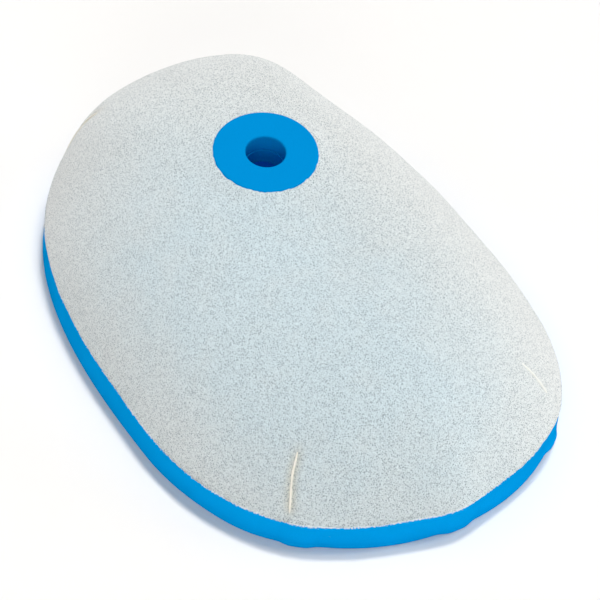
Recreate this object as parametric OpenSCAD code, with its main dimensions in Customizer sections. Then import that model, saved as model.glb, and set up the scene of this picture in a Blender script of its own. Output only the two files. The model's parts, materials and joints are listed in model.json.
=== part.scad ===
// Two-ply foam air filter for an off-road motorcycle: a domed element on a foam seal ring.
// +X points to the low nose, +Y to the side, +Z up. The sealing face lies on z = 0, and the
// origin is at the middle of the element's overall box.
// A point of the dome is given by an angle round the rim, a share of the way from the crown's
// pole (0) to the rim (1), and an inset, which shrinks the same form for the inner faces.

/* [Rim outline] */
// Distance from the widest station to the nose
nose_len = 91; // [70:1:120]
// Distance from the widest station to the tail
tail_len = 158.5; // [120:0.5:200]
// Half of the width across the widest station
half_width = 80.5; // [60:0.5:100]
// Squareness of the nose half, where 2 is an ellipse
nose_square = 2.1; // [1.8:0.05:3]
// Squareness of the tail half
tail_square = 2.45; // [1.8:0.05:3.5]

/* [Locator lobes] */
// Angle of the two front side lobes from the nose
lobe_angle = 38; // [25:1:50]
// Height of the side lobes
side_lobe = 1.4; // [0:0.1:2]
// Height of the nose lobe
nose_lobe = 1.2; // [0:0.1:2]
// Spread of a lobe along the rim, in degrees
lobe_spread = 5; // [4:0.5:12]
// Swell of the rim behind each side lobe
rim_swell = 1; // [0:0.1:2]
// Angle of that swell from the nose
rim_swell_angle = 53; // [45:1:65]
// Spread of that swell, in degrees
rim_swell_spread = 12; // [8:1:20]

/* [Seal ring] */
// Height of the ring and its bond line
rim_h = 12.9; // [8:0.1:20]
// Width of the sealing face, from the outer wall to the inner lip
ring_w = 15.5; // [14:0.5:24]
// How far the ring's top edge is set in under the foam's edge
ring_inset = 0.6; // [0:0.1:1.2]
// Softened corner of the ring
ring_edge = 0.8; // [0.2:0.1:1.5]
// Thickness of every bond line
bond_t = 0.3; // [0.1:0.05:0.6]

/* [Foam plies] */
// Thickness of the coarse outer ply
outer_ply = 7; // [4:0.5:10]
// Thickness of the fine inner ply
inner_ply = 5; // [3:0.5:8]
// Clearance between the two plies
ply_gap = 0.3; // [0.1:0.05:0.5]
// How far the foam's edge is set in from the rim outline
edge_inset = 1.2; // [0:0.1:3]

/* [Dome] */
// Height of the crown line over the washer
crown_h = 76.6; // [60:0.2:95]
// Fall of the crown line toward the nose, per unit of length
crown_fall = 0.246; // [0:0.002:0.35]
// Radius to which the crown line bends up again away from the washer
crown_bend = 532; // [300:4:1200]
// How far the pole of the crown lies ahead of the widest station
pole_shift = 13; // [0:0.5:25]
// Fullness of the wall at the nose
nose_full = 2.6; // [2:0.05:5]
// Fullness of the wall at the tail
tail_full = 4; // [2:0.05:6]
// Roundness of the foot of the wall
foot_round = 1.1; // [1:0.02:1.6]
// Squareness of the crown's level lines
crown_square = 1.95; // [1.8:0.05:2.6]

/* [Corners] */
// Swell of the foam's edge at the front corners
corner_swell = 3; // [0:0.1:5]
// Spread of that swell, in degrees
corner_spread = 34; // [20:1:40]
// Peak of the foam's edge at the front darts
dart_peak = 0.8; // [0:0.1:2]
// Peak of the foam's edge at the nose
nose_peak = 1.5; // [0:0.1:3]
// Height of the ridge that rises over each rear dart
rear_ridge = 9; // [0:0.5:12]
// Spread of the peaks and ridges, in degrees
peak_spread = 8; // [6:0.5:14]

/* [Darts] */
// Angle of the two front darts from the nose
front_dart_angle = 40; // [28:4:56]
// Angle of the two rear darts from the nose
rear_dart_angle = 164; // [144:4:172]
// Where a front dart ends, as a share of the way from the pole to the rim
front_dart_top = 0.81; // [0.7:0.01:0.95]
// Where a rear dart ends
rear_dart_top = 0.84; // [0.6:0.01:0.95]
// Width of a glued seam
seam_w = 1; // [0.6:0.1:2]
// How far a seam stands proud of the foam
seam_proud = 0.3; // [0:0.1:1]
// Clearance between a seam and its slit
seam_gap = 0.1; // [0.05:0.05:0.3]

/* [Bolt washers] */
// Place of the bolt hole, as a share of the way from the pole to the tail
washer_share = 0.385; // [0.3:0.005:0.5]
// Diameter of the bolt hole
bore_d = 15; // [10:0.5:20]
// Diameter of the outer washer
washer_d = 40; // [34:0.5:50]
// Thickness of the outer washer's flange
washer_t = 2.4; // [2:0.1:4]
// How far the outer washer stands proud of the foam
washer_proud = 1.2; // [0.6:0.1:1.6]
// Diameter of the inner washer
inner_washer_d = 36; // [32:0.5:46]
// Thickness of the inner washer's flange
inner_washer_t = 2; // [1.5:0.1:3]
// Wall of the sleeve between the two flanges
neck_wall = 3; // [1.5:0.1:4]
// Depth below the outer flange at which the two halves of the sleeve meet
joint_depth = 7.5; // [6:0.1:9]
// Radius of the flange's outer edge
flange_edge = 1; // [0.4:0.1:1.5]
// Radius of the bolt hole's mouth
mouth_r = 1; // [0.6:0.1:2]
// Bevel on each half of the sleeve where they meet
joint_bevel = 0.4; // [0.1:0.1:0.6]
// Clearance between the sleeve and the punched foam
neck_gap = 0.2; // [0.1:0.05:0.4]

/* [Hidden] */

// Sampling of the domes, of the ring and of round edges
dome_step = 4;
ring_step = 3;
dome_rows = 15;
seam_rows = 8;
edge_steps = 6;
round_fn = 96;

// Insets of the faces of the two plies
plies_t = outer_ply + inner_ply;
inner_ply_top = outer_ply + ply_gap;

// The level lines turn from the crown's squareness to the rim's only near the rim
square_turn = 8;

ring_top = rim_h - bond_t;
neck_r = bore_d / 2 + neck_wall;

// --- Outlines round the rim ---

// Radius at angle a of an oval with its own length and squareness on each half
function oval_r(a, front, back, side, n_front, n_back) =
    let (n = cos(a) > 0 ? n_front : n_back, len = cos(a) > 0 ? front : back)
    pow(pow(abs(cos(a)) / len, n) + pow(abs(sin(a)) / side, n), -1 / n);

// Smooth bell of height 1 about angle c
function bell(a, c, spread) = exp(-pow(((a - c + 540) % 360 - 180) / spread, 2));

// The same bell on both sides of the filter
function bells(a, c, spread) = bell(a, c, spread) + bell(a, -c, spread);

function rim_r(a) =
    oval_r(a, nose_len, tail_len, half_width, nose_square, tail_square)
    + side_lobe * bells(a, lobe_angle, lobe_spread)
    + rim_swell * bells(a, rim_swell_angle, rim_swell_spread)
    + nose_lobe * bell(a, 0, lobe_spread);

function foam_swell(a) =
    corner_swell * bells(a, front_dart_angle, corner_spread)
    + dart_peak * bells(a, front_dart_angle, peak_spread)
    + nose_peak * bell(a, 0, peak_spread);

function foam_r(a, inset) =
    oval_r(a, nose_len - edge_inset - inset, tail_len - edge_inset - inset,
        half_width - edge_inset - inset, nose_square, tail_square) + foam_swell(a);

// Middle of the overall box, seen from the widest station
nose_reach = max(rim_r(0), foam_r(0, -seam_proud));
mid_x = (nose_reach - max(rim_r(180), foam_r(180, 0))) / 2;

function on_plan(a, r, z) = [r * cos(a) - mid_x, r * sin(a), z];

// --- Dome surface ---

function mix(u, v, share) = u + (v - u) * share;

function crown_z(x) =
    let (d = x + washer_share * tail_len - pole_shift)
    crown_h - crown_fall * d + d * d / (2 * crown_bend);

function wall_full(a) = mix(tail_full, nose_full, (1 + cos(a)) / 2);

function dome_pt(a, f, inset) =
    let (
        turn = pow(f, square_turn),
        inside = edge_inset + inset,
        level = oval_r(a, nose_len - inside, tail_len - inside, half_width - inside,
            mix(crown_square, nose_square, turn), mix(crown_square, tail_square, turn)),
        ridge = 4 * rear_ridge * bells(a, rear_dart_angle, peak_spread) * f * f * (1 - f * f),
        r = f * (level + foam_swell(a) * f * f + ridge),
        x = r * cos(a) + pole_shift * (1 - f * f),
        drop = pow(max(0, 1 - pow(f, wall_full(a))), 1 / foot_round)
    )
    [x - mid_x, r * sin(a), rim_h + (crown_z(x) - inset - rim_h) * drop];

// Rows crowd toward the rim, where the wall is steep
function row_share(j, rows) = sin(90 * j / rows);

// One face of a ply: the pole, then rows of points out to the rim
function dome_face(inset) =
    let (n = 360 / dome_step)
    concat([dome_pt(0, 0, inset)],
        [for (j = [1 : dome_rows]) for (i = [0 : n - 1])
            dome_pt(i * dome_step, row_share(j, dome_rows), inset)]);

function dome_point_index(i, j, n) = j == 0 ? 0 : 1 + (j - 1) * n + i % n;

// A closed shell between two insets, flat where it stands on the ring
module ply(from_inset, to_inset) {
    n = 360 / dome_step;
    outer = dome_face(from_inset);
    inner = dome_face(to_inset);
    shift = len(outer);
    last = dome_rows;
    caps = [for (i = [0 : n - 1]) each [
        [0, dome_point_index(i + 1, 1, n), dome_point_index(i, 1, n)],
        [shift, shift + dome_point_index(i, 1, n), shift + dome_point_index(i + 1, 1, n)]]];
    walls = [for (j = [1 : last - 1]) for (i = [0 : n - 1])
        let (
            a = dome_point_index(i, j, n),
            b = dome_point_index(i + 1, j, n),
            c = dome_point_index(i + 1, j + 1, n),
            d = dome_point_index(i, j + 1, n)
        )
        each [[a, b, c], [a, c, d], [shift + a, shift + c, shift + b], [shift + a, shift + d, shift + c]]];
    foot = [for (i = [0 : n - 1])
        let (a = dome_point_index(i, last, n), b = dome_point_index(i + 1, last, n))
        each [[a, b, shift + b], [a, shift + b, shift + a]]];
    polyhedron(concat(outer, inner), concat(caps, walls, foot), convexity = 6);
}

// --- Dart seams ---

// Four corners of a seam's section: across the seam, from one inset to the other
function seam_section(a, f, width, out_inset, in_inset) =
    let (side = width / 2 * [-sin(a), cos(a), 0], p = dome_pt(a, f, out_inset), q = dome_pt(a, f, in_inset))
    [p + side, p - side, q - side, q + side];

// A thin fin through both plies that follows the dome from the rim up to the dart's top
module seam_fin(a, top, width, out_inset, in_inset, below) {
    shares = [for (j = [0 : seam_rows]) mix(1, top, j / seam_rows)];
    foot = [for (p = seam_section(a, 1, width, out_inset, in_inset)) p - [0, 0, below]];
    body = [for (f = shares) each seam_section(a, f, width, out_inset, in_inset)];
    points = below > 0 ? concat(foot, body) : body;
    rows = len(points) / 4 - 1;
    sides = [for (j = [0 : rows - 1]) for (k = [0 : 3])
        let (m = (k + 1) % 4)
        each [[4 * j + k, 4 * j + m, 4 * j + 4 + m], [4 * j + k, 4 * j + 4 + m, 4 * j + 4 + k]]];
    start = [[3, 2, 1], [3, 1, 0]];
    end = [[4 * rows, 4 * rows + 1, 4 * rows + 2], [4 * rows, 4 * rows + 2, 4 * rows + 3]];
    polyhedron(points, concat(start, sides, end), convexity = 4);
}

module seam(a, top) {
    color("#e6ddc0") seam_fin(a, top, seam_w, -seam_proud, plies_t + ply_gap, 0);
}

// Slits for the four darts, cut past both faces and below the foam's edge
module dart_slits() {
    cut = seam_w + 2 * seam_gap;
    past = 1.5;
    end_room = 0.004;
    for (side = [0, 1]) mirror([0, side, 0]) {
        seam_fin(front_dart_angle, front_dart_top - end_room, cut, -past, plies_t + past, past);
        seam_fin(rear_dart_angle, rear_dart_top - end_room, cut, -past, plies_t + past, past);
    }
}

// --- Bolt washers ---

// The washers seat square to the crown, so their tilt comes from the dome
seat_pt = dome_pt(180, washer_share, 0);
seat_ahead = dome_pt(180, washer_share - 0.1, 0);
seat_behind = dome_pt(180, washer_share + 0.1, 0);
washer_tilt = atan((seat_behind[2] - seat_ahead[2]) / (seat_ahead[0] - seat_behind[0]));

// Stations along the bolt's axis, from the foam's outer face
flange_top = washer_proud;
flange_under = flange_top - washer_t;
outer_seat = flange_under - bond_t;
joint_at = flange_top - joint_depth;
inner_seat = outer_seat - (plies_t + ply_gap) * cos(washer_tilt) + 2 * bond_t + washer_t;
inner_flange_over = inner_seat - bond_t;
inner_flange_under = inner_flange_over - inner_washer_t;

module at_bolt() translate(seat_pt) rotate([0, washer_tilt, 0]) children();

// Points of a quarter round about [r, z], from one angle to the other
function corner(r, z, radius, from, to) =
    [for (k = [0 : edge_steps])
        let (t = mix(from, to, k / edge_steps))
        [r + radius * cos(t), z + radius * sin(t)]];

// A flange and a neck turned about the bolt's axis, with the flange's face at z = 0
module top_hat(outside_d, flange_t, neck_end) {
    bore = bore_d / 2;
    rim = outside_d / 2;
    rotate_extrude($fn = round_fn)
        polygon(concat(
            corner(bore + mouth_r, -mouth_r, mouth_r, 180, 90),
            corner(rim - flange_edge, -flange_edge, flange_edge, 90, 0),
            [[rim, -flange_t], [neck_r, -flange_t]],
            [[neck_r, neck_end], [bore + joint_bevel, neck_end], [bore, neck_end + joint_bevel]]));
}

// Room for a washer in the foam: a shallow seat, open outward, and the hole for its neck
module washer_room(outside_d, seat, outward) {
    wide = outside_d / 2 + neck_gap;
    above = 12;
    through = 30;
    at_bolt() {
        translate([0, 0, outward ? seat : seat - above]) cylinder(h = above, r = wide, $fn = round_fn);
        cylinder(h = 2 * through, r = neck_r + neck_gap, center = true, $fn = round_fn);
    }
}

module bond_washer(outside_d, low) {
    at_bolt() translate([0, 0, low])
        difference() {
            cylinder(h = bond_t, r = outside_d / 2 - flange_edge, $fn = round_fn);
            translate([0, 0, -bond_t]) cylinder(h = 3 * bond_t, r = neck_r + neck_gap, $fn = round_fn);
        }
}

// --- Nodes ---

// Section of the ring at angle a: sealing face, outer wall, top face and inner lip
function ring_section(a) =
    let (
        low = rim_r(a),
        high = foam_r(a, 0) - ring_inset,
        lip = min(low, high) - ring_w
    )
    [
        on_plan(a, lip + ring_edge, 0),
        on_plan(a, low - ring_edge, 0),
        on_plan(a, low, ring_edge),
        on_plan(a, high, ring_top),
        on_plan(a, lip, ring_top),
        on_plan(a, lip, ring_edge)
    ];

module seal_ring() {
    n = 360 / ring_step;
    points = [for (i = [0 : n - 1]) each ring_section(i * ring_step)];
    m = len(ring_section(0));
    faces = [for (i = [0 : n - 1]) for (k = [0 : m - 1])
        let (a = i * m + k, b = i * m + (k + 1) % m, c = ((i + 1) % n) * m + (k + 1) % m, d = ((i + 1) % n) * m + k)
        each [[a, b, c], [a, c, d]]];
    color("#0197df") polyhedron(points, faces, convexity = 6);
}

module rim_bond() {
    color("#d8d2b4") translate([-mid_x, 0, ring_top])
        linear_extrude(bond_t)
            difference() {
                polygon([for (a = [0 : ring_step : 359]) (foam_r(a, 0) - ring_inset - bond_t) * [cos(a), sin(a)]]);
                polygon([for (a = [0 : ring_step : 359]) foam_r(a, plies_t) * [cos(a), sin(a)]]);
            }
}

module inner_foam() {
    color("#1c7fc4") difference() {
        ply(inner_ply_top, plies_t + ply_gap);
        washer_room(inner_washer_d, inner_seat, false);
        dart_slits();
    }
}

module outer_foam() {
    color("#d5dee0") difference() {
        ply(0, outer_ply);
        washer_room(washer_d, outer_seat, true);
        dart_slits();
    }
}

module front_right_seam() seam(front_dart_angle, front_dart_top);
module front_left_seam() mirror([0, 1, 0]) front_right_seam();
module rear_right_seam() seam(rear_dart_angle, rear_dart_top);
module rear_left_seam() mirror([0, 1, 0]) rear_right_seam();

module outer_washer() {
    color("#008fda") at_bolt() translate([0, 0, flange_top])
        top_hat(washer_d, washer_t, -joint_depth);
}

module inner_washer() {
    color("#008fda") at_bolt() translate([0, 0, inner_flange_under]) rotate([180, 0, 0])
        top_hat(inner_washer_d, inner_washer_t, inner_flange_under - joint_at);
}

module outer_washer_bond() color("#d8d2b4") bond_washer(washer_d, outer_seat);
module inner_washer_bond() color("#d8d2b4") bond_washer(inner_washer_d, inner_flange_over);

seal_ring();
rim_bond();
inner_foam();
outer_foam();
front_left_seam();
front_right_seam();
rear_left_seam();
rear_right_seam();
inner_washer();
inner_washer_bond();
outer_washer();
outer_washer_bond();
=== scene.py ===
# A two-ply foam air filter for an off-road motorcycle, dressed over its solids.
# The sections follow the filter as it is put together: seal ring, bond line, inner ply,
# outer ply, dart seams, lower washer, upper washer, and then the studio. All sizes are metres.

import json
import math

import bpy
import numpy as np
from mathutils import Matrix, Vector


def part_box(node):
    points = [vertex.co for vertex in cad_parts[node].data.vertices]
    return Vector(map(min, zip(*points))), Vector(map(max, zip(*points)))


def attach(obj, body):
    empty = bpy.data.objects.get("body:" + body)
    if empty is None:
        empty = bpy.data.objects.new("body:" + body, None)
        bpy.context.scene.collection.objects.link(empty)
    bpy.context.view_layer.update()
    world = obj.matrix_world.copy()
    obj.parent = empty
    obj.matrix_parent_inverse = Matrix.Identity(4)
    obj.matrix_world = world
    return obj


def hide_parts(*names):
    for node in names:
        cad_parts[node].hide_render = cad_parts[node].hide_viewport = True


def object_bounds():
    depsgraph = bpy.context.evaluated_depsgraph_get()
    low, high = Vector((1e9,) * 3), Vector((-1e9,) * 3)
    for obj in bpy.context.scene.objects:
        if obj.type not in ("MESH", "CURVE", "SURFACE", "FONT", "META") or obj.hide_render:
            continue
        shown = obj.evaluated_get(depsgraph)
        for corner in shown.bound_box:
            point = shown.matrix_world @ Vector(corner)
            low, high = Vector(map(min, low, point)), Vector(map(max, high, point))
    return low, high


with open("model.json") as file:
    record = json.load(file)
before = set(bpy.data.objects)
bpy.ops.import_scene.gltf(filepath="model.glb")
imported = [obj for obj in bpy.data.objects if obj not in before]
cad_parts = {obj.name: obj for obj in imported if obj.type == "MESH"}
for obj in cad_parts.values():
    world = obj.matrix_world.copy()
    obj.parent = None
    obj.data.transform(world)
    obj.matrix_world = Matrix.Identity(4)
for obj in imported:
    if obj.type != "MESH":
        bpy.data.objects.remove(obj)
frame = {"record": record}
frame_box = [list(corner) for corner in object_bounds()]

# ---------------------------------------------------------------------------------------------
# Seal ring: the springy band that the whole element stands on and that seals on the airbox.
# It is closed-cell foam, dyed blue, cut with a flat face below and a smooth skin round its wall.
# Three low lobes at the front locate it in the airbox.
# ---------------------------------------------------------------------------------------------

nose_len, tail_len, half_width = 0.091, 0.1585, 0.0805
nose_square, tail_square = 2.1, 2.45
edge_inset = 0.0012
front_dart_angle, peak_spread = 40, 8
corner_swell, corner_spread = 0.003, 34
dart_peak, nose_peak = 0.0008, 0.0028
lobe_angle, lobe_spread, lobe_power = 38, 3.8, 4
side_lobe, nose_lobe = 0.0014, 0.0015
rim_swell, rim_swell_angle, rim_swell_spread = 0.0013, 50, 12
ring_w, ring_inset = 0.0155, 0.0006
ring_corner_radii = (0.0010, 0.0006, 0.0005, 0.0008)
ring_columns, ring_arc_steps, ring_side_steps = 720, 4, (6, 14, 4, 8)
# Height, size and seed of each layer of unevenness, in the skin and in waves that run straight
# up the wall; they fade in above the sealing face, from one height over another, and end this
# far short of the top face
skin_layers = ((0.00007, 0.006, 11), (0.00003, 0.0016, 12))
wall_layers = ((0.00028, 0.010, 13),)
wall_from, wall_ease, wall_short = 0.0008, 0.001, 0.00001
ring_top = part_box("seal_ring")[1].z
ring_blue, fibre_white = (0.0005, 0.365, 0.86, 1), (0.84, 0.88, 0.90, 1)
table_length = 4096


def oval_radius(angle, nose, tail, side, nose_power, tail_power):
    """Radius of an oval at an angle: ((|cos| / length)^power + (|sin| / side)^power)^(-1 / power),
    where the nose half and the tail half each have their own length and their own power."""
    ahead = np.cos(angle) > 0
    length, power = np.where(ahead, nose, tail), np.where(ahead, nose_power, tail_power)
    lengthwise, sideways = np.abs(np.cos(angle)) / length, np.abs(np.sin(angle)) / side
    return (lengthwise**power + sideways**power) ** (-1 / power)


def bell(angle, middle, spread, power=2):
    """exp(-(turn / spread)^power), where turn is the way in degrees from the middle round to the
    angle. Power 2 is a soft bell, and power 4 has a flat top and steep sides."""
    turn = (np.degrees(angle) - middle + 540) % 360 - 180
    return np.exp(-((turn / spread) ** power))


def bells(angle, middle, spread, power=2):
    """The same bell on both sides of the filter."""
    return bell(angle, middle, spread, power) + bell(angle, -middle, spread, power)


def rim_radius(angle):
    """The oval of the ring's foot, plus a bell for each side lobe, a wide low bell behind each of
    them and one for the nose lobe."""
    return (
        oval_radius(angle, nose_len, tail_len, half_width, nose_square, tail_square)
        + side_lobe * bells(angle, lobe_angle, lobe_spread, lobe_power)
        + rim_swell * bells(angle, rim_swell_angle, rim_swell_spread)
        + nose_lobe * bell(angle, 0, lobe_spread, lobe_power)
    )


def edge_swell(angle):
    """How far the foam's edge bulges past its oval: wide bells at the two front corners, and a
    narrow peak at each front dart and at the nose."""
    return (
        corner_swell * bells(angle, front_dart_angle, corner_spread)
        + dart_peak * bells(angle, front_dart_angle, peak_spread)
        + nose_peak * bell(angle, 0, peak_spread)
    )


def edge_radius(angle, inset):
    """The oval of the foam's edge, set in by edge_inset and by the inset, plus its swell."""
    inside = edge_inset + inset
    return edge_swell(angle) + oval_radius(
        angle, nose_len - inside, tail_len - inside, half_width - inside, nose_square, tail_square
    )


def closed_mesh(name, points, round_rows=True):
    """A mesh from a grid of points. Point (i, j) is joined to (i + 1, j), (i + 1, j + 1) and
    (i, j + 1), and j always wraps round. Rows i wrap too, or else end in a flat cap each."""
    rows, across = points.shape[:2]
    i, j = np.meshgrid(np.arange(rows if round_rows else rows - 1), np.arange(across), indexing="ij")
    beyond, beside = (i + 1) % rows, (j + 1) % across
    quads = np.stack([i * across + j, beyond * across + j, beyond * across + beside,
                      i * across + beside], -1).reshape(-1, 4)
    faces = quads.tolist()
    if not round_rows:
        faces += [np.arange(across).tolist(), (np.arange(across) + (rows - 1) * across)[::-1].tolist()]
    mesh = bpy.data.meshes.new(name)
    mesh.from_pydata(points.reshape(-1, 3), [], faces)
    mesh.polygons.foreach_set("use_smooth", np.ones(len(faces), bool))
    mesh.update()
    piece = bpy.data.objects.new(name, mesh)
    bpy.context.scene.collection.objects.link(piece)
    return piece


def rounded_section(corners, radii, arc_steps, side_steps):
    """A closed section with soft corners. Each corner becomes the curve (1-t)^2 start
    + 2t(1-t) corner + t^2 end, whose start and end lie one radius before and after the corner, and
    each straight side is divided."""
    before, after = np.roll(corners, 1, -2) - corners, np.roll(corners, -1, -2) - corners
    radii = np.asarray(radii)[:, None]
    starts = corners + before / np.linalg.norm(before, axis=-1, keepdims=True) * radii
    ends = corners + after / np.linalg.norm(after, axis=-1, keepdims=True) * radii
    next_starts = np.roll(starts, -1, -2)
    rows = []
    for at, steps in enumerate(side_steps):
        t = np.linspace(0, 1, arc_steps + 1)[:, None]
        start, corner, end, following = (
            grid[..., at, None, :] for grid in (starts, corners, ends, next_starts))
        rows.append((1 - t) ** 2 * start + 2 * t * (1 - t) * corner + t**2 * end)
        along = np.linspace(0, 1, steps + 1)[1:-1, None]
        rows.append(end + (following - end) * along)
    return np.concatenate(rows, -2)


def table_key(at):
    """The place in a random table of whole-number coordinates: each times a large prime, joined
    by exclusive or, modulo the table's length."""
    return (at[..., 0] * 73856093 ^ at[..., 1] * 19349663 ^ at[..., 2] * 83492791) % table_length


def lattice_noise(points, size, seed):
    """Smooth noise from -1 to 1: random values on the corners of cubes of this size, each
    weighted by 3t^2 - 2t^3 along every axis."""
    cell = np.floor(points / size).astype(np.int64)
    t = points / size - cell
    weight = t * t * (3 - 2 * t)
    values = np.random.default_rng(seed).uniform(-1, 1, table_length)
    total = 0
    for corner in np.ndindex(2, 2, 2):
        share = np.prod(np.where(corner, weight, 1 - weight), -1)
        total = total + values[table_key(cell + corner)] * share
    return total


def layered_noise(points, layers):
    """The sum of height * lattice_noise over layers of (height, size, seed)."""
    return sum(height * lattice_noise(points, size, seed) for height, size, seed in layers)


def outward(points):
    """Unit normals of a closed grid: the cross product of its steps along i and along j."""
    along_i = np.roll(points, -1, 0) - np.roll(points, 1, 0)
    along_j = np.roll(points, -1, 1) - np.roll(points, 1, 1)
    normal = np.cross(along_i, along_j)
    return normal / np.maximum(np.linalg.norm(normal, axis=-1, keepdims=True), 1e-12)


def shade(tree, kind, sockets=(), **settings):
    """Adds one shader node. A socket's value is another node's output, which is linked, or a
    number, colour or vector, which is written on it."""
    made = tree.nodes.new(kind)
    for key, value in settings.items():
        setattr(made, key, value)
    for key, value in dict(sockets).items():
        if isinstance(value, bpy.types.NodeSocket):
            tree.links.new(value, made.inputs[key])
        else:
            made.inputs[key].default_value = value
    return made


def new_finish(name):
    """An empty node material, with the coordinates of its piece."""
    finish = bpy.data.materials.new(name)
    finish.use_nodes = True
    finish.node_tree.nodes.clear()
    return finish, finish.node_tree, finish.node_tree.nodes.new("ShaderNodeTexCoord").outputs["Object"]


def foam_skin(name, colour, shade_by, cell, roughness, fibres_at=None):
    """Dyed foam or rubber with a closed skin: a slow drift of colour, a fine grain of cells of
    this size, and a low bump of both. White fibres of the cut foam above cling to its last
    millimetres under the height fibres_at."""
    finish, tree, place = new_finish(name)
    drift_share, grain_share = 0.65, 0.35
    fibres_from, fibres_full = 0.0022, 0.0006
    drift = shade(tree, "ShaderNodeTexNoise", {"Vector": place, "Scale": 90.0, "Detail": 3.0})
    grain = shade(tree, "ShaderNodeTexVoronoi", {"Vector": place, "Scale": 1 / cell})
    blend = shade(tree, "ShaderNodeMath", {0: drift.outputs[0], 1: drift_share}, operation="MULTIPLY")
    level = shade(tree, "ShaderNodeMath", {
        0: grain.outputs["Distance"], 1: grain_share, 2: blend.outputs[0]}, operation="MULTIPLY_ADD")
    darker = tuple(part * (1 - shade_by) for part in colour[:3]) + (1,)
    lighter = tuple(min(1, part * (1 + shade_by)) for part in colour[:3]) + (1,)
    tone = shade(tree, "ShaderNodeMixRGB", {"Fac": level.outputs[0], "Color1": darker, "Color2": lighter})
    bump = shade(tree, "ShaderNodeBump", {"Height": level.outputs[0], "Strength": 0.25, "Distance": 0.0004})
    if fibres_at:
        high = shade(tree, "ShaderNodeSeparateXYZ", {0: place})
        near = shade(tree, "ShaderNodeMapRange", {
            "Value": high.outputs["Z"], "From Min": fibres_at - fibres_from,
            "From Max": fibres_at - fibres_full, "To Min": -0.25, "To Max": 0.36})
        tangle = shade(tree, "ShaderNodeTexNoise", {"Vector": place, "Scale": 1800.0, "Detail": 1.0})
        clinging = shade(tree, "ShaderNodeMath", {0: near.outputs[0], 1: tangle.outputs[0]},
                         operation="ADD")
        fibre = shade(tree, "ShaderNodeMapRange", {
            "Value": clinging.outputs[0], "From Min": 0.58, "From Max": 0.66})
        tone = shade(tree, "ShaderNodeMixRGB", {
            "Fac": fibre.outputs[0], "Color1": tone.outputs[0], "Color2": fibre_white})
    skin = shade(tree, "ShaderNodeBsdfPrincipled", {
        "Base Color": tone.outputs[0], "Roughness": roughness, "Specular IOR Level": 0.0,
        "Normal": bump.outputs[0]})
    shade(tree, "ShaderNodeOutputMaterial", {"Surface": skin.outputs[0]})
    return finish


# The frame's origin is the middle of the overall box, and the widest station is at x = -mid_x
mid_x = -frame_box[0][0] - tail_len


def carried_round(angle, inner, outer, levels, corner_radii, arc_steps, side_steps):
    """A four-cornered section with soft corners carried round the rim, from its inner radius to
    its outer radii at the lower and the upper level. A point of it, (radius, height), comes to
    (radius cos(angle) - mid_x, radius sin(angle), height)."""
    low, high = (np.full_like(angle, level) for level in levels)
    corners = np.stack([np.stack([inner, low], -1), np.stack([outer[0], low], -1),
                        np.stack([outer[1], high], -1), np.stack([inner, high], -1)], 1)
    section = rounded_section(corners, corner_radii, arc_steps, side_steps)
    radius, height, angle = section[..., 0], section[..., 1], angle[:, None]
    return np.stack([radius * np.cos(angle) - mid_x, radius * np.sin(angle), height], -1)


def ring_points():
    """The ring's section carried round the rim, with a slight unevenness of the cut foam along
    its normal."""
    angle = np.linspace(0, 2 * math.pi, ring_columns, endpoint=False)
    foot = rim_radius(angle)
    edge = edge_radius(angle, 0) - ring_inset
    lip = np.minimum(foot, edge) - ring_w
    points = carried_round(
        angle, lip, (foot, edge), (0, ring_top), ring_corner_radii, ring_arc_steps, ring_side_steps)
    up = points[..., 2]
    uneven = layered_noise(points, skin_layers) + layered_noise(points * (1, 1, 0), wall_layers)
    on_wall = np.clip((up - wall_from) / wall_ease, 0, 1) * (up < ring_top - wall_short)
    return points + outward(points) * (uneven * on_wall)[..., None]


ring = closed_mesh("seal_ring_foam", ring_points())
ring.data.materials.append(foam_skin(
    "blue_seal_foam", ring_blue, shade_by=0.05, cell=0.0007, roughness=0.62, fibres_at=ring_top))
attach(ring, "root")
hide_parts("seal_ring")

# ---------------------------------------------------------------------------------------------
# Rim bond: the glue film between the ring's top face and the cut edges of the two plies.
# It is pale contact adhesive, rolled on by hand, so its inner edge wanders a little.
# ---------------------------------------------------------------------------------------------

outer_ply, inner_ply, ply_gap = 0.007, 0.005, 0.0003
rim_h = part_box("rim_bond")[1].z
bond_columns, bond_arc_steps, bond_side_steps = 480, 2, (6, 1, 6, 1)
# How far the film ends short of the ring's edge and runs in past the plies, its clearance from
# the foam above and below, and the roundness of its edges
bond_short, bond_past, film_clear, bond_edge = 0.0003, 0.0004, 0.00001, 0.0001
# Height, size and seed of the wandering of its inner edge
wander_layers = ((0.0006, 0.004, 21),)
glue_cream, glue_amber = (0.98, 0.965, 0.92, 1), (0.94, 0.89, 0.74, 1)


def bond_points():
    """A flat section between two edges carried round the rim; the inner edge is moved in and out
    by noise along the rim."""
    angle = np.linspace(0, 2 * math.pi, bond_columns, endpoint=False)
    outer = edge_radius(angle, 0) - ring_inset - bond_short
    ring_line = np.stack([outer * np.cos(angle), outer * np.sin(angle), 0 * angle], -1)
    wander = layered_noise(ring_line, wander_layers)
    inner = edge_radius(angle, outer_ply + inner_ply) - bond_past + wander
    return carried_round(angle, inner, (outer, outer), (ring_top + film_clear, rim_h - film_clear),
                         [bond_edge] * 4, bond_arc_steps, bond_side_steps)


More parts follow.
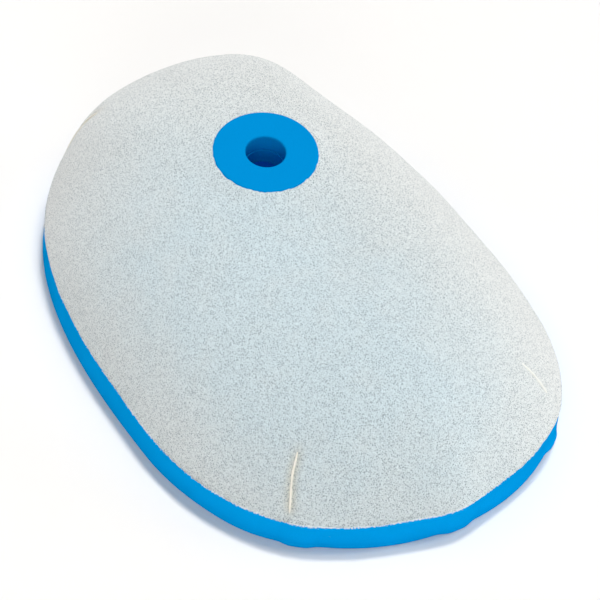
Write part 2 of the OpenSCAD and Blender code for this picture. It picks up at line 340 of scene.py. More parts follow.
def dried_glue(name, colour, aged):
    """Dried contact adhesive: pale, a little glossy, with a slow change to an aged colour."""
    finish, tree, place = new_finish(name)
    drift = shade(tree, "ShaderNodeTexNoise", {"Vector": place, "Scale": 350.0, "Detail": 4.0})
    tone = shade(tree, "ShaderNodeMixRGB", {"Fac": drift.outputs[0], "Color1": colour, "Color2": aged})
    bump = shade(tree, "ShaderNodeBump", {"Height": drift.outputs[0], "Strength": 0.4, "Distance": 0.0003})
    skin = shade(tree, "ShaderNodeBsdfPrincipled", {
        "Base Color": tone.outputs[0], "Roughness": 0.5, "Specular IOR Level": 0.35,
        "Normal": bump.outputs[0]})
    shade(tree, "ShaderNodeOutputMaterial", {"Surface": skin.outputs[0]})
    return finish


glue_finish = dried_glue("cream_glue", glue_cream, glue_amber)
rim_glue = closed_mesh("rim_glue_line", bond_points())
rim_glue.data.materials.append(glue_finish)
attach(rim_glue, "root")
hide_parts("rim_bond")

# ---------------------------------------------------------------------------------------------
# Inner ply: the fine-celled foam that stops the dust, bonded under the outer ply.
# It is blue open-cell polyurethane, cut flat and pulled into the dome by its darts.
# ---------------------------------------------------------------------------------------------

crown_h, crown_fall, crown_bend = 0.0766, 0.246, 0.532
pole_shift = 0.013
nose_full, tail_full, foot_round = 2.6, 4.0, 1.1
crown_square, square_turn = 1.95, 8
rear_dart_angle, rear_ridge = 164, 0.009
washer_share = 0.385
plies_t = outer_ply + inner_ply + ply_gap
bore_r, neck_wall, neck_gap = 0.0075, 0.003, 0.0002
punched_r = bore_r + neck_wall + neck_gap
inner_washer_r = 0.018
# The level of the foam under the lower washer, along the bolt's axis from the crown's seat, the
# radius of the row of points beside the flange and that at which the foam is itself again
inner_seat, beside_r, inner_free_r = -0.010651, inner_washer_r + 0.0001, inner_washer_r + 0.002
# Insets of the two rows in the cut foot
inner_foot_insets = (0.009, 0.0107)
inner_columns, inner_over_counts, inner_below_counts = 360, (16,), (5, 3, 84)
# Height, size and seed of each layer of unevenness, and the heights above the bond between which
# it sets in
inner_layers, uneven_from = ((0.00012, 0.0011, 31), (0.0003, 0.012, 32)), (0.0005, 0.004)
# How deep and how widely the foam is drawn in along a dart, and how much the glue stains it there
inner_draw, inner_draw_spread, inner_stain = 0.0005, 0.0018, 0.35
inner_tint = 0.5
fine_blue, fine_shade = (0.012, 0.215, 0.56, 1), (0.02, 0.16, 0.45, 1)
fine_cell, fine_pore_size, fine_pore_dark = 0.0010, 0.36, 0.5
# Angle of each pair of darts, the share at which columns crowd over it, how much more densely
# and over how many degrees
crowded_at = ((front_dart_angle, 0.90, 4.0, 3.0), (rear_dart_angle, 0.92, 2.0, 5.0))
# How finely turns are sampled, how often a span is halved, how much rows crowd at the rim, and
# the rows in the wall of the hole
turn_samples, halvings, rim_crowding, wall_rows = 7201, 30, 0.75, 2


def mix(start, end, share):
    """start + (end - start) * share."""
    return start + (end - start) * share


def ease(low, high, value):
    """0 below low, 1 above high, and 3t^2 - 2t^3 between."""
    t = np.clip((value - low) / (high - low), 0, 1)
    return t * t * (3 - 2 * t)


def dome_point(angle, share, inset):
    """A point of the dome at an angle, a share of the way from the crown's pole to the rim.
    In plan its radius is the share times the sum of an oval that turns from the crown's squareness
    to the rim's by share^8, the edge's swell by share^2 and a ridge over each rear dart, and it
    lies pole_shift (1 - share^2) further ahead. Its height is the rim's, plus the crown's rise
    over the rim there, less the inset, times (1 - share^full)^(1 / foot_round)."""
    inside, turn = edge_inset + inset, share**square_turn
    oval = oval_radius(angle, nose_len - inside, tail_len - inside, half_width - inside,
                       mix(crown_square, nose_square, turn), mix(crown_square, tail_square, turn))
    ridge = 4 * rear_ridge * bells(angle, rear_dart_angle, peak_spread) * share**2 * (1 - share**2)
    radius = share * (oval + edge_swell(angle) * share**2 + ridge)
    forward = radius * np.cos(angle) + pole_shift * (1 - share**2)
    full = mix(tail_full, nose_full, (1 + np.cos(angle)) / 2)
    rise = np.maximum(0, 1 - share**full) ** (1 / foot_round)
    from_seat = forward + washer_share * tail_len - pole_shift
    crown = crown_h - crown_fall * from_seat + from_seat**2 / (2 * crown_bend)
    return np.stack(np.broadcast_arrays(
        forward - mid_x, radius * np.sin(angle), rim_h + (crown - inset - rim_h) * rise), -1)


bolt = next(mount for mount in frame["record"]["mounts"] if mount["name"] == "bolt_bore")
bolt_axis = np.array(bolt["axis"])
seat_point = dome_point(np.array(math.pi), np.array(washer_share), 0.0)


def from_bolt(points):
    """Distance of points from the bolt's axis, and their height along it from the seat."""
    away = points - seat_point
    height = away @ bolt_axis
    return np.linalg.norm(away - height[..., None] * bolt_axis, axis=-1), height


def on_disc(turn, reach):
    """Angle and share of a point of the dome's unit disc, which lies at this turn and reach from
    the bolt hole's place in it."""
    ahead, aside = reach * np.cos(turn) - washer_share, reach * np.sin(turn)
    return np.arctan2(aside, ahead), np.hypot(ahead, aside)


def reach_of(turn, inset, radius):
    """The reach at which the dome is this radius away from the bolt's axis, by halving the span
    from 0 to 0.5 again and again."""
    low, high = np.zeros_like(turn), np.full_like(turn, 0.5)
    for _ in range(halvings):
        middle = (low + high) / 2
        inside = from_bolt(dome_point(*on_disc(turn, middle), inset))[0] < radius
        low, high = np.where(inside, middle, low), np.where(inside, high, middle)
    return low[:, None]


def rim_reach(turn):
    """The reach of the disc's rim: the far root of |hole + reach * direction| = 1."""
    toward_pole = washer_share * np.cos(turn)
    return (toward_pole + np.sqrt(toward_pole**2 + 1 - washer_share**2))[:, None]


def column_turns(columns):
    """Directions round the bolt hole, clockwise from above and crowded where they cross a dart, by
    reading the running sum of their wanted density backwards."""
    turn = np.linspace(-math.pi, math.pi, turn_samples)
    wanted = np.ones_like(turn)
    for degrees, share, crowd, spread in crowded_at:
        angle = math.radians(degrees)
        over = math.atan2(share * math.sin(angle), share * math.cos(angle) + washer_share)
        wanted += crowd * bells(turn, math.degrees(over), spread)
    running = np.concatenate([[0], np.cumsum((wanted[1:] + wanted[:-1]) / 2)])
    return np.interp(np.arange(columns) / columns * running[-1], running, turn)[::-1]


def face_rows(turn, inset, radii, counts):
    """Reaches of one face's rows for every column: spans between circles round the bolt hole,
    and a last span out to the rim whose rows crowd there as a sine does."""
    stops = [reach_of(turn, inset, radius) for radius in radii]
    spans = [mix(start, end, np.linspace(0, 1, count, endpoint=False))
             for start, end, count in zip(stops, stops[1:], counts)]
    along = np.linspace(0, 1, counts[-1] + 1)
    along = mix(along, np.sin(along * math.pi / 2), rim_crowding)
    return np.concatenate([*spans, mix(stops[-1], rim_reach(turn), along)], 1)


def pressed(points, level, inside_r, outside_r):
    """Foam under a washer's flange: its height along the bolt's axis is the flange's level inside
    one radius, its own beyond another, and eases between."""
    distance, height = from_bolt(points)
    change = (level - height) * (1 - ease(inside_r, outside_r, distance))
    return points + change[..., None] * bolt_axis


# How far a dart leans by its top, in degrees, and the share of the dome at which it has leaned
dart_lean, leaned_at = 1.4, 0.88
# Shares of the dome over which a dart's glue dies out round its top and dulls where the foam
# closes over it, and how much it dulls there
top_fade, close_fade, dulled = (0.03, 0.05), (0.01, 0.015), 0.8
# Name, angle, share of the dome at its top, share where the foam closes over it, its width and
# its depth as shares of the usual, and its seed. Right is the +Y side, as seen from the nose
darts = (("front_right", front_dart_angle, 0.815, 0.945, 1.25, 0.15, 51),
         ("front_left", -front_dart_angle, 0.815, 0.98, 1.0, 1.0, 53),
         ("rear_right", rear_dart_angle, 0.84, 0.97, 1.0, 0.9, 55),
         ("rear_left", -rear_dart_angle, 0.84, 0.98, 0.9, 1.0, 57))


def dart_angle(foot_angle, share):
    """A dart's angle in degrees at a share of the dome: it leans away from the nose by
    3t^2 - 2t^3 from the rim up, since the cut foam was stretched unevenly when it was glued."""
    return foot_angle + np.sign(foot_angle) * dart_lean * (1 - ease(leaned_at, 1.0, share))


def dart_show(top, closes, share):
    """1 where a dart's glue shows, falling to 0 past its top, and low where the foam closes over
    it above the rim."""
    opens = ease(top - top_fade[0], top + top_fade[1], share)
    return opens * (1 - dulled * ease(closes - close_fade[0], closes + close_fade[1], share))


def dart_pull(angle, share, depth, spread):
    """How deep the foam is drawn in along the four darts: depth times exp(-(across / spread)^2),
    where across is the distance from the glue line, fading out past the dart's top."""
    total = 0
    for _, foot_angle, top, closes, _, sunk, _ in darts:
        turn = np.radians((np.degrees(angle) - dart_angle(foot_angle, share) + 540) % 360 - 180)
        across = share * oval_radius(angle, nose_len, tail_len, half_width, 2, 2) * turn
        total = total + sunk * np.exp(-((across / spread) ** 2)) * dart_show(top, closes, share)
    return depth * total


def ply_points(turn, outer_reach, inner_reach, insets, foot_insets):
    """A ply as one closed grid: its outer face from the punched hole to the rim, the cut foot,
    its inner face back to the hole, and the wall of the hole."""
    turn = turn[:, None]
    outer = dome_point(*on_disc(turn, outer_reach), insets[0])
    inner = dome_point(*on_disc(turn, inner_reach), insets[1])[:, ::-1]
    foot = dome_point(*on_disc(turn, outer_reach[:, -1:]), np.asarray(foot_insets)[None, :])
    wall = mix(inner[:, -1:], outer[:, :1], np.linspace(0, 1, wall_rows + 2)[None, 1:-1, None])
    return outer, foot, inner, wall


def open_foam(name, plain, tinted, cell, pore_size, pore_dark):
    """Open-cell foam: dark pores of random depth in cells of this size, a fine grain between
    them and a slow drift of tone. The vertex attribute tint_and_painted_shade blends in the ply
    behind it, with painted shade on the outer ply, and the attribute stain the glue that has soaked in."""
    pore_tone, glue_soaked = (0.14, 0.20, 0.25), (0.66, 0.60, 0.47, 1)
    finish, tree, place = new_finish(name)
    cells = shade(tree, "ShaderNodeTexVoronoi", {"Vector": place, "Scale": 1 / cell})
    near = shade(tree, "ShaderNodeMapRange", {
        "Value": cells.outputs["Distance"], "From Min": 0.1, "From Max": pore_size,
        "To Min": 1.0, "To Max": 0.0}, interpolation_type="SMOOTHSTEP")
    chance = shade(tree, "ShaderNodeSeparateColor", {"Color": cells.outputs["Color"]})
    deep = shade(tree, "ShaderNodeMath", {0: chance.outputs[0], 1: 0.55}, operation="POWER")
    pore = shade(tree, "ShaderNodeMath", {0: near.outputs[0], 1: deep.outputs[0]}, operation="MULTIPLY")
    grain = shade(tree, "ShaderNodeTexNoise", {"Vector": place, "Scale": 2.0 / cell, "Detail": 0.0})
    drift = shade(tree, "ShaderNodeTexNoise", {"Vector": place, "Scale": 70.0, "Detail": 3.0})
    # The tint attribute holds painted shade on the outer ply: a bluer -Y side, away from the key light
    tint_and_painted_shade = shade(tree, "ShaderNodeAttribute", attribute_name="tint_and_painted_shade")
    stain = shade(tree, "ShaderNodeAttribute", attribute_name="stain")
    uneven = shade(tree, "ShaderNodeMath", {0: drift.outputs[0], 1: 0.8, 2: 0.6}, operation="MULTIPLY_ADD")
    amount = shade(tree, "ShaderNodeMath", {0: tint_and_painted_shade.outputs["Fac"], 1: uneven.outputs[0]},
                   operation="MULTIPLY")
    base = shade(tree, "ShaderNodeMixRGB", {"Fac": amount.outputs[0], "Color1": plain, "Color2": tinted})
    soaked = shade(tree, "ShaderNodeMixRGB", {
        "Fac": stain.outputs["Fac"], "Color1": base.outputs[0], "Color2": glue_soaked})
    lighter = shade(tree, "ShaderNodeMapRange", {
        "Value": grain.outputs[0], "From Min": 0.3, "From Max": 0.7, "To Min": 0.86, "To Max": 1.13})
    grained = shade(tree, "ShaderNodeVectorMath", {0: soaked.outputs[0], "Scale": lighter.outputs[0]},
                    operation="SCALE")
    hole = shade(tree, "ShaderNodeMath", {0: pore.outputs[0], 1: pore_dark}, operation="MULTIPLY")
    dark = tuple(part * tone_share for part, tone_share in zip(tinted, pore_tone)) + (1,)
    tone = shade(tree, "ShaderNodeMixRGB", {
        "Fac": hole.outputs[0], "Color1": grained.outputs[0], "Color2": dark})
    height = shade(tree, "ShaderNodeMath", {0: pore.outputs[0], 1: -1.0, 2: grain.outputs[0]},
                   operation="MULTIPLY_ADD")
    bump = shade(tree, "ShaderNodeBump", {
        "Height": height.outputs[0], "Strength": 0.5, "Distance": 0.0003})
    skin = shade(tree, "ShaderNodeBsdfPrincipled", {
        "Base Color": tone.outputs[0], "Roughness": 0.95, "Specular IOR Level": 0.1,
        "Diffuse Roughness": 1.0, "Sheen Weight": 0.10, "Sheen Roughness": 0.45,
        "Sheen Tint": (1, 1, 1, 1), "Normal": bump.outputs[0]})
    shade(tree, "ShaderNodeOutputMaterial", {"Surface": skin.outputs[0]})
    return finish


def set_attribute(piece, name, values):
    """Writes one number per vertex for the finish to read."""
    layer = piece.data.attributes.new(name, "FLOAT", "POINT")
    layer.data.foreach_set("value", np.ascontiguousarray(values, np.float32).ravel())


inner_turns = column_turns(inner_columns)
inner_over = face_rows(inner_turns, outer_ply + ply_gap, [punched_r], inner_over_counts)
inner_below = face_rows(
    inner_turns, plies_t, [punched_r, beside_r, inner_free_r], inner_below_counts)
over, foot, below, wall = ply_points(
    inner_turns, inner_over, inner_below, (outer_ply + ply_gap, plies_t), inner_foot_insets)
below_angle, below_share = (grid[:, ::-1] for grid in on_disc(inner_turns[:, None], inner_below))
below = pressed(below, inner_seat, inner_washer_r, inner_free_r)
fine = np.concatenate([over, foot, below, wall], 1)
first = over.shape[1] + foot.shape[1]
last = first + below.shape[1]
shown = np.zeros(fine.shape[:2])
shown[:, first:last] = ease(*uneven_from, fine[:, first:last, 2] - rim_h)
pull = np.zeros(fine.shape[:2])
pull[:, first:last] = -dart_pull(below_angle, below_share, inner_draw, inner_draw_spread)
uneven = layered_noise(fine, inner_layers)
fine = fine + outward(fine) * (uneven * shown + pull)[..., None]
inner_piece = closed_mesh("inner_foam_ply", fine)
set_attribute(inner_piece, "tint_and_painted_shade", inner_tint * shown)
set_attribute(inner_piece, "stain", np.clip(-pull / inner_draw, 0, 1) * inner_stain)
inner_piece.data.materials.append(
    open_foam("fine_blue_foam", fine_blue, fine_shade, fine_cell, fine_pore_size, fine_pore_dark))
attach(inner_piece, "root")
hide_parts("inner_foam")

# ---------------------------------------------------------------------------------------------
# Outer ply: the coarse foam that holds the oil and the worst of the dirt, the face of the filter.
# It is white open-cell polyurethane; the blue ply behind shows through it, painted bluer as
# shade on the -Y side away from the key light, and its cut edge hangs a little ragged over the seal ring.
# ---------------------------------------------------------------------------------------------

washer_r = 0.020
# The level of the foam under the upper washer's flange, the radii between which it rises again,
# and the radius of the row of points that lies against the flange's edge
outer_seat = -0.0015
tucked_r, risen_r, flush_r = washer_r - 0.0006, washer_r - 0.0002, washer_r - 0.0001
# Height and unevenness of the foam that swells up round the flange, and how wide the swelling is
swell_height, swell_layers, swell_spread = 0.0007, ((0.0003, 0.0014, 46),), 0.004
# Insets of the two rows in the cut foot, and how near the edge the last row of the face lies
outer_foot_insets, hem_row = (ring_inset, 0.0035), 0.0001
outer_columns, outer_face_counts, outer_back_counts = 740, (6, 5, 100), (16,)
# Where the blue ply shows through, as painted shade: bluer on the -Y side, away from the key
# light, and white on the lit +Y side. It sets in forward of the tail, dies out toward the +Y side
# past a slanting line, and fades on the -Y wall and near the foot, each between two places
painted_tint_ahead, painted_tint_aside, painted_tint_slant = (-0.11, 0.02), (-0.03, 0.055), 0.25
painted_tint_wall, painted_tint_wall_loss = (0.055, 0.08), 0.5
painted_tint_foot, painted_tint_foot_loss = (0.045, 0.015), 0.35
# Layers of unevenness, pores (their reach as a share of their spacing), and the distance from
# the flange over which both set in
outer_layers = ((0.00006, 0.0012, 41), (0.00022, 0.016, 42))
pore_depth, pore_spacing, pore_reach, pore_seed = 0.00012, 0.0021, 0.55, 43
sets_in_over = 0.004
# How deep and how widely the foam is drawn in along a dart, and how much and how widely the glue
# stains it there
outer_draw, outer_draw_spread, outer_stain, outer_stain_spread = 0.0008, 0.0017, 0.45, 0.0022
# The ragged hem: its level and its unevenness, the shares of the dome over which it sets in, how
# much of it the cut foot takes, and how widely and how much the front corner at +Y is spared
hem_level, hem_layers = -0.0004, ((0.0004, 0.0035, 44), (0.0006, 0.0010, 45))
hem_shares, hem_foot = (0.9955, 0.9995), 0.8
spared_spread, spared = 9, 0.75
# The second colour is the blue that the painted shade blends in on the -Y side, away from the key light
foam_white, foam_blue_and_painted_shade = (0.82, 0.836, 0.822, 1), (0.74, 0.834, 0.866, 1)
coarse_cell, coarse_pore_size, coarse_pore_dark = 0.00060, 0.55, 0.85

outer_turns = column_turns(outer_columns)
outer_rows = face_rows(outer_turns, 0.0, [punched_r, tucked_r, flush_r], outer_face_counts)
outer_rows = np.insert(outer_rows, -1, outer_rows[:, -1] - hem_row, 1)
back_rows = face_rows(outer_turns, outer_ply, [punched_r], outer_back_counts)
face, foot, back, wall = ply_points(
    outer_turns, outer_rows, back_rows, (0.0, outer_ply), outer_foot_insets)
face_angle, face_share = on_disc(outer_turns[:, None], outer_rows)
face_radius, face_height = from_bolt(face)
swollen = swell_height + layered_noise(face, swell_layers)
lip = (swollen - face_height) * np.exp(-(((face_radius - washer_r) / swell_spread) ** 2))
face = pressed(face + lip[..., None] * bolt_axis, outer_seat, tucked_r, risen_r)
coarse = np.concatenate([face, foot, back, wall], 1)
rows = face.shape[1]
ahead, aside, up = coarse[..., 0], coarse[..., 1], coarse[..., 2]
# Painted shade: the blue is strongest on the -Y front slope, away from the key light, and the lit +Y side
# stays white
tint_and_painted_shade = ease(*painted_tint_ahead, ahead) * (1 - ease(*painted_tint_aside, aside - painted_tint_slant * ahead))
tint_and_painted_shade = tint_and_painted_shade * (1 - painted_tint_wall_loss * ease(*painted_tint_wall, -aside))
tint_and_painted_shade = tint_and_painted_shade * (1 - painted_tint_foot_loss * ease(*painted_tint_foot, up))


def pores(points):
    """1 in the middle of a pore and 0 past its edge. Every cube of the pores' spacing holds one
    pore at a random place, and the nearest one counts, as (1 - (distance / reach)^2)^2."""
    draw = np.random.default_rng(pore_seed).uniform(0, 1, (table_length, 3))
    home = np.floor(points / pore_spacing).astype(np.int64)
    nearest = np.full(points.shape[:-1], np.inf)
    for step in np.ndindex(3, 3, 3):
        at = home + np.array(step) - 1
        middle = at + draw[table_key(at)]
        nearest = np.minimum(nearest, np.linalg.norm(points / pore_spacing - middle, axis=-1))
    return np.clip(1 - (nearest / pore_reach) ** 2, 0, 1) ** 2


uneven = layered_noise(coarse, outer_layers) - pore_depth * pores(coarse)
shown = np.zeros(coarse.shape[:2])
shown[:, :rows] = ease(washer_r, washer_r + sets_in_over, from_bolt(face)[0])
pull = np.zeros(coarse.shape[:2])
pull[:, :rows] = -dart_pull(face_angle, face_share, outer_draw, outer_draw_spread)
coarse = coarse + outward(coarse) * (uneven * shown + pull)[..., None]

rim_turn = np.arctan2(coarse[..., 1], coarse[..., 0] + mid_x)
hem = hem_level + layered_noise(coarse, hem_layers)
hem = hem * (1 - spared * bell(rim_turn, front_dart_angle, spared_spread))
near_edge = np.zeros(coarse.shape[:2])
near_edge[:, :rows] = ease(*hem_shares, face_share)
near_edge[:, rows] = hem_foot
coarse[..., 2] += hem * near_edge

outer_piece = closed_mesh("outer_foam_ply", coarse)
# The tint attribute carries that painted shade
set_attribute(outer_piece, "tint_and_painted_shade", tint_and_painted_shade)
stain = np.zeros(coarse.shape[:2])
stain[:, :rows] = dart_pull(face_angle, face_share, outer_stain, outer_stain_spread)
set_attribute(outer_piece, "stain", np.clip(stain, 0, 1))
outer_piece.data.materials.append(open_foam(
    "coarse_white_foam", foam_white, foam_blue_and_painted_shade, coarse_cell, coarse_pore_size, coarse_pore_dark))
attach(outer_piece, "root")
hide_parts("outer_foam")

# ---------------------------------------------------------------------------------------------
# Dart seams: the four glue lines that close the darts and give the flat foam its dome.
# Each is a fin of dried pale adhesive right through both plies, laid by hand, so that its crest
# swells and thins along its length and dies out at the dart's top.
# ---------------------------------------------------------------------------------------------

# The fin's width, how far its back edge stays inside the plies, and the power n of its section
seam_w, fin_inside, fin_power = 0.001, 0.0001, 4
fin_rows, fin_sides = 90, 28
# Width at the hidden end and what the showing part gains, as shares of seam_w, and the height
# and size of its unevenness
width_least, width_gain, width_wave = 0.5, 0.65, (0.22, 0.003)
# How far the crest stands out of the foam's face, follows it where the foam is drawn in and
# sinks at its hidden end, and the height and size of its unevenness
crest_out, crest_follows, crest_sinks, crest_wave = 0.0003, 0.0004, 0.0011, (0.00015, 0.0022)
# A dart that is hardly sunk holds a thin line of glue, given a paler, whiter copy of the glue:
# a painted highlight along that seam
highlight_glue = dried_glue("highlight_white_glue", (0.95, 0.965, 0.94, 1), (0.93, 0.93, 0.88, 1))
highlight_glue_below = 0.5


def seam_points(foot_angle, top, closes, wide, sunk, seed):
    """A rounded section, |across|^n + |through|^n = 1, carried up the dart from the rim. Its
    width and crest vary by noise, and both shrink toward the top end."""
    share = mix(1.0, top, np.linspace(0, 1, fin_rows))
    angle = np.radians(dart_angle(foot_angle, share))
    line = dome_point(angle, share, 0.0)
    showing = dart_show(top, closes, share)
    width = wide * seam_w * (width_least + width_gain * showing)
    width = width * (1 + layered_noise(line, [(*width_wave, seed)]))
    deep = crest_follows * sunk - crest_out + crest_sinks * (1 - showing)
    deep = deep - layered_noise(line, [(*crest_wave, seed + 1)])
    turn = np.linspace(0, 2 * math.pi, fin_sides, endpoint=False)
    circle = np.stack([np.cos(turn), np.sin(turn)])
    across, through = np.sign(circle) * np.abs(circle) ** (2 / fin_power)
    out = dome_point(angle, share, deep)[:, None]
    back = dome_point(angle, share, plies_t - fin_inside)[:, None]
    side = np.stack([-np.sin(angle), np.cos(angle), 0 * angle], -1)[:, None]
    return (mix(back, out, (1 + through)[None, :, None] / 2)
            + side * (width[:, None] / 2 * across[None, :])[..., None])


for dart, foot_angle, top, closes, wide, sunk, seed in darts:
    fin = closed_mesh(dart + "_glue_seam", seam_points(foot_angle, top, closes, wide, sunk, seed),
                      round_rows=False)
    # The hardly sunk front right seam takes the paler glue, a painted highlight
    fin.data.materials.append(glue_finish if sunk > highlight_glue_below else highlight_glue)
    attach(fin, "root")
    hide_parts(dart + "_seam")

# ---------------------------------------------------------------------------------------------
# Lower washer: the half of the bolt sleeve that sits on the cage, glued under the inner ply.
# It is moulded blue rubber; its neck meets the upper half's in the middle of the foam, and its
# bore is a little tighter there, so the joint is a small step.
# ---------------------------------------------------------------------------------------------

washer_columns, washer_arc_steps = 192, 8
lower_bore_r, neck_r, flange_edge = bore_r - 0.0003, bore_r + neck_wall, 0.001
# Heights from the crown's seat: the joint of the two halves, and the flange's two faces
joint_at, inner_over_at, inner_under_at = -0.0063, -0.010951, -0.012951
lower_corner_radii = (0.0001, 0.0003, 0.0005, 0.0003, flange_edge, 0.0003)
lower_side_steps = (4, 6, 8, 2, 10, 12)
film_corner_radii = (0.00008, 0.00012, 0.00012, 0.00008)
film_arc_steps, film_side_steps = 3, (4, 1, 4, 1)
# A glue film's near and far face, from the face of the flange that it lies on
film_near, film_far = 0.00001, 0.00029
washer_blue = (0.0005, 0.275, 0.67, 1)
bolt_aside = np.array([0.0, 1.0, 0.0])
bolt_ahead = np.cross(bolt_aside, bolt_axis)


def turned(section):
    """A closed (radius, height) section turned about the bolt's axis, heights from the seat:
    radius (cos(angle) ahead + sin(angle) aside) + height axis."""
    angle = np.linspace(0, 2 * math.pi, washer_columns, endpoint=False)[:, None, None]
    radius, height = section[None, :, :1], section[None, :, 1:]
    spoke = np.cos(angle) * bolt_ahead + np.sin(angle) * bolt_aside
    return seat_point + radius * spoke + height * bolt_axis


lower_corners = np.array([
    (lower_bore_r, joint_at), (neck_r, joint_at), (neck_r, inner_over_at),
    (inner_washer_r, inner_over_at), (inner_washer_r, inner_under_at), (lower_bore_r, inner_under_at)])
lower_section = rounded_section(
    lower_corners, lower_corner_radii, washer_arc_steps, lower_side_steps)
lower = closed_mesh("inner_washer_rubber", turned(lower_section[::-1]))
rubber = foam_skin("blue_washer_rubber", washer_blue, shade_by=0.04, cell=0.0005, roughness=0.5)
lower.data.materials.append(rubber)
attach(lower, "root")
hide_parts("inner_washer")


def film_section(outside_r, low, high):
    """A thin flat section from the punched hole to the flange's edge, with a soft outer lip."""
    corners = np.array([(punched_r, low), (outside_r, low), (outside_r, high), (punched_r, high)])
    return rounded_section(corners, film_corner_radii, film_arc_steps, film_side_steps)


lower_glue = closed_mesh("inner_washer_glue", turned(
    film_section(inner_washer_r - flange_edge, inner_over_at + film_near, inner_over_at + film_far)))
lower_glue.data.materials.append(glue_finish)
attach(lower_glue, "root")
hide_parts("inner_washer_bond")

# ---------------------------------------------------------------------------------------------
# Upper washer: the round flange in the crown that the bolt's head presses on.
# It is the same moulded blue rubber, with a soft rim, a rounded mouth and a plain face,
# and it is glued into a shallow seat that it presses in the foam.
# ---------------------------------------------------------------------------------------------

flange_top_at, flange_under_at = 0.0012, -0.0012
mouth_r, joint_bevel = 0.001, 0.0004
upper_corner_radii = (0.0001, mouth_r, flange_edge, 0.0003, 0.0005, 0.0003, 0.0001)
upper_side_steps = (8, 14, 4, 8, 6, 4, 1)

upper_corners = np.array([
    (bore_r, joint_at + joint_bevel), (bore_r, flange_top_at), (washer_r, flange_top_at),
    (washer_r, flange_under_at), (neck_r, flange_under_at), (neck_r, joint_at),
    (bore_r + joint_bevel, joint_at)])
upper_section = rounded_section(
    upper_corners, upper_corner_radii, washer_arc_steps, upper_side_steps)
upper = closed_mesh("outer_washer_rubber", turned(upper_section[::-1]))
upper.data.materials.append(rubber)
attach(upper, "root")
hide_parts("outer_washer")

upper_glue = closed_mesh("outer_washer_glue", turned(
    film_section(washer_r - flange_edge, flange_under_at - film_far, flange_under_at - film_near)))
upper_glue.data.materials.append(glue_finish)
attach(upper_glue, "root")
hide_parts("outer_washer_bond")

# ---------------------------------------------------------------------------------------------
# Studio: a wide white floor, soft light from above and all round with the brightest high on
# the +Y side, and the camera. None of it is part of the filter.
# ---------------------------------------------------------------------------------------------

floor_span, floor_lines, floor_level = 6.0, 13, -0.0001
floor_white, air_strength, backdrop_strength = (0.965, 0.95, 0.93, 1), 0.13, 1.0
floor_mesh = bpy.data.meshes.new("studio_floor")
line_at = np.linspace(-floor_span, floor_span, floor_lines)
floor_x, floor_y = np.meshgrid(line_at, line_at, indexing="ij")
floor_points = np.stack([floor_x, floor_y, np.full_like(floor_x, floor_level)], -1)
i, j = np.meshgrid(np.arange(floor_lines - 1), np.arange(floor_lines - 1), indexing="ij")
corner = i * floor_lines + j
floor_quads = np.stack([corner, corner + floor_lines, corner + floor_lines + 1, corner + 1], -1)
floor_mesh.from_pydata(floor_points.reshape(-1, 3), [], floor_quads.reshape(-1, 4).tolist())
studio_floor = bpy.data.objects.new("studio_floor", floor_mesh)
bpy.context.scene.collection.objects.link(studio_floor)


def seen_rays(tree):
    """1 for camera, glossy and transmission rays, and 0 for the light that falls on the part."""
    path = shade(tree, "ShaderNodeLightPath")
    seen = shade(tree, "ShaderNodeMath", {
        0: path.outputs["Is Camera Ray"], 1: path.outputs["Is Glossy Ray"]}, operation="MAXIMUM")
    return shade(tree, "ShaderNodeMath", {0: seen.outputs[0], 1: path.outputs["Is Transmission Ray"]},
                 operation="MAXIMUM").outputs[0]


floor_finish, tree, _ = new_finish("white_floor")
paper = shade(tree, "ShaderNodeBsdfDiffuse", {"Color": floor_white})
shade(tree, "ShaderNodeOutputMaterial", {"Surface": paper.outputs[0]})
floor_mesh.materials.append(floor_finish)

world = bpy.data.worlds.new("studio_air")
bpy.context.scene.world = world
world.use_nodes = True
tree = world.node_tree
tree.nodes.clear()
air = shade(tree, "ShaderNodeBackground", {"Color": (1, 1, 1, 1), "Strength": air_strength})
white = shade(tree, "ShaderNodeBackground", {"Color": (1, 1, 1, 1), "Strength": backdrop_strength})
pick = shade(tree, "ShaderNodeMixShader", {0: seen_rays(tree), 1: air.outputs[0], 2: white.outputs[0]})
shade(tree, "ShaderNodeOutputWorld", {"Surface": pick.outputs[0]})


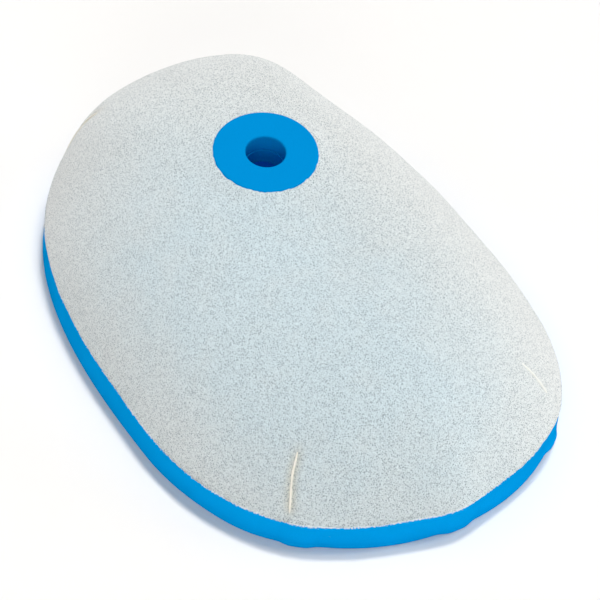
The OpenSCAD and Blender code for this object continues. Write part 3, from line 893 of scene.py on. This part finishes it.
def soft_light(name, azimuth, elevation, strength, width):
    """A far soft light, this many degrees wide. Its azimuth and elevation say where it comes
    from, and the azimuth is turned from +X toward +Y."""
    lamp = bpy.data.lights.new(name, "SUN")
    lamp.energy = strength
    lamp.angle = math.radians(width)
    holder = bpy.data.objects.new(name, lamp)
    round_by, up_by = math.radians(azimuth), math.radians(elevation)
    source = Vector((math.cos(round_by) * math.cos(up_by), math.sin(round_by) * math.cos(up_by),
                     math.sin(up_by)))
    holder.rotation_euler = source.to_track_quat("Z", "Y").to_euler()
    holder.location = source * 2
    bpy.context.scene.collection.objects.link(holder)


soft_light("key_light", 124, 69, 1.60, 10)
soft_light("top_light", 75, 70, 0.55, 10)
soft_light("hole_light", -30, 50, 0.50, 18)
soft_light("front_light", -30, 18, 0.68, 30)
soft_light("left_light", -120, 15, 0.28, 30)
soft_light("right_light", 60, 18, 0.43, 30)
soft_light("back_light", 150, 18, 0.35, 30)

# Daylight that seeps through the plies, from a small lamp under the crown
seep = bpy.data.lights.new("seep_light", "POINT")
seep.energy, seep.color, seep.shadow_soft_size = 0.012, (0.01, 0.25, 1.0), 0.01
seep_holder = bpy.data.objects.new("seep_light", seep)
seep_holder.location = (-0.06, 0.0, 0.030)
bpy.context.scene.collection.objects.link(seep_holder)

# The camera's azimuth is turned from -Y toward +X
camera_azimuth, camera_elevation, camera_distance = 60.283, 42.304, 1.80333
camera_target = Vector((-0.012073, 0.012107, 0))
lens = bpy.data.cameras.new("camera")
lens.lens, lens.sensor_width = 281.25, 36
lens.clip_start, lens.clip_end = 0.05, 50
camera = bpy.data.objects.new("camera", lens)
round_by, up_by = math.radians(camera_azimuth), math.radians(camera_elevation)
back_way = Vector((math.sin(round_by) * math.cos(up_by), -math.cos(round_by) * math.cos(up_by),
                   math.sin(up_by)))
camera.location = camera_target + back_way * camera_distance
camera.rotation_euler = back_way.to_track_quat("Z", "Y").to_euler()
bpy.context.scene.collection.objects.link(camera)
bpy.context.scene.camera = camera
bpy.context.scene.view_settings.view_transform = "Standard"
